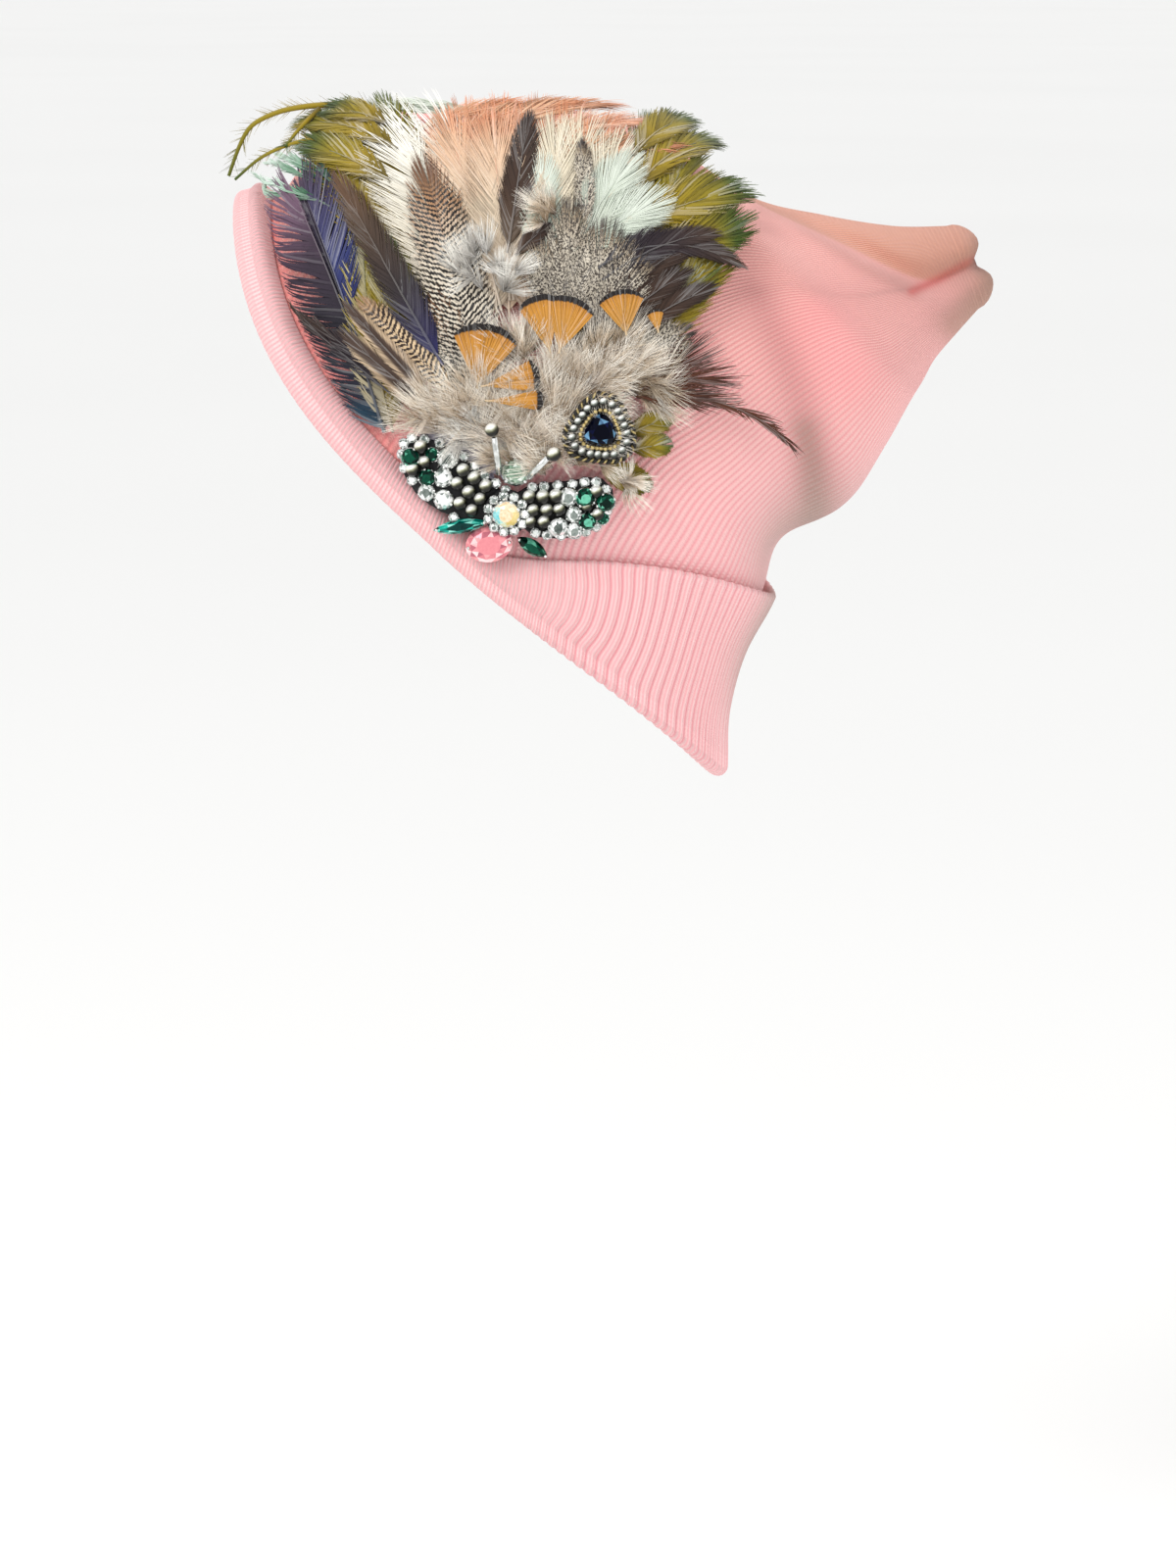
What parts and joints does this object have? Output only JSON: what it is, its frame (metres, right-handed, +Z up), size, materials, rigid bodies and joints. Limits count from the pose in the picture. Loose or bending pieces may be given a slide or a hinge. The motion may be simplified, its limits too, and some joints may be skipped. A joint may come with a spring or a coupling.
{
  "type": "beanie with feather trim",
  "caption": "Fine-knit pink sack beanie with a turned-up ribbed cuff, held as worn, its left side trimmed with a feather cockade, a jewelled moth brooch and a heart brooch.",
  "frame": {"origin": "the head seat: the place at the top of the head hollow where the crown rests on a head", "axes": "+Z up as worn, the wearer faces -Y, +X is the wearer's left, the side with the feathers and brooches"},
  "size_m": [0.1838, 0.279, 0.2548],
  "materials": {
    "pink_knit": "fine stocking-stitch knit, matt",
    "pink_rib_knit": "ribbed knit, matt",
    "olive_plume": "dyed ostrich and cock feather",
    "violet_plume": "dyed feather, dark, slightly glossy",
    "pale_plume": "cream, peach and mint feather, matt",
    "barred_feather": "black and cream barred feather",
    "brown_hackle": "brown hackle, silky",
    "amber_feather": "amber feather with a black edge",
    "grey_down": "grey-beige down, matt",
    "jet_setting": "black backing set with pewter pearls, emerald and clear stones",
    "silver_rod": "polished",
    "grey_pearl": "pewter glass pearl",
    "emerald_glass": "foiled emerald cut glass",
    "rose_glass": "foiled rose cut glass",
    "clear_crystal": "foiled clear cut crystal",
    "antique_gilt": "antique gilt rope rim with pearls and gilt beads",
    "sapphire_glass": "foiled dark blue cut glass"
  },
  "bodies": {
    "root": {"crown": "pink_knit", "cuff": "pink_rib_knit", "olive_plumes": "olive_plume", "violet_plume": "violet_plume", "pale_plumes": "pale_plume", "barred_feathers": "barred_feather", "hackle_feathers": "brown_hackle", "amber_feathers": "amber_feather", "down_tuft": "grey_down", "moth_front_wing": "jet_setting", "moth_back_wing": "jet_setting", "moth_body": "jet_setting", "moth_head_stone": "clear_crystal", "moth_tail_stone": "rose_glass", "moth_front_leaf": "emerald_glass", "moth_back_leaf": "emerald_glass", "moth_front_antenna": "silver_rod", "moth_front_antenna_pearl": "grey_pearl", "moth_back_antenna": "silver_rod", "moth_back_antenna_pearl": "grey_pearl", "heart_setting": "antique_gilt", "heart_stone": "sapphire_glass"}
  },
  "joints": []
}
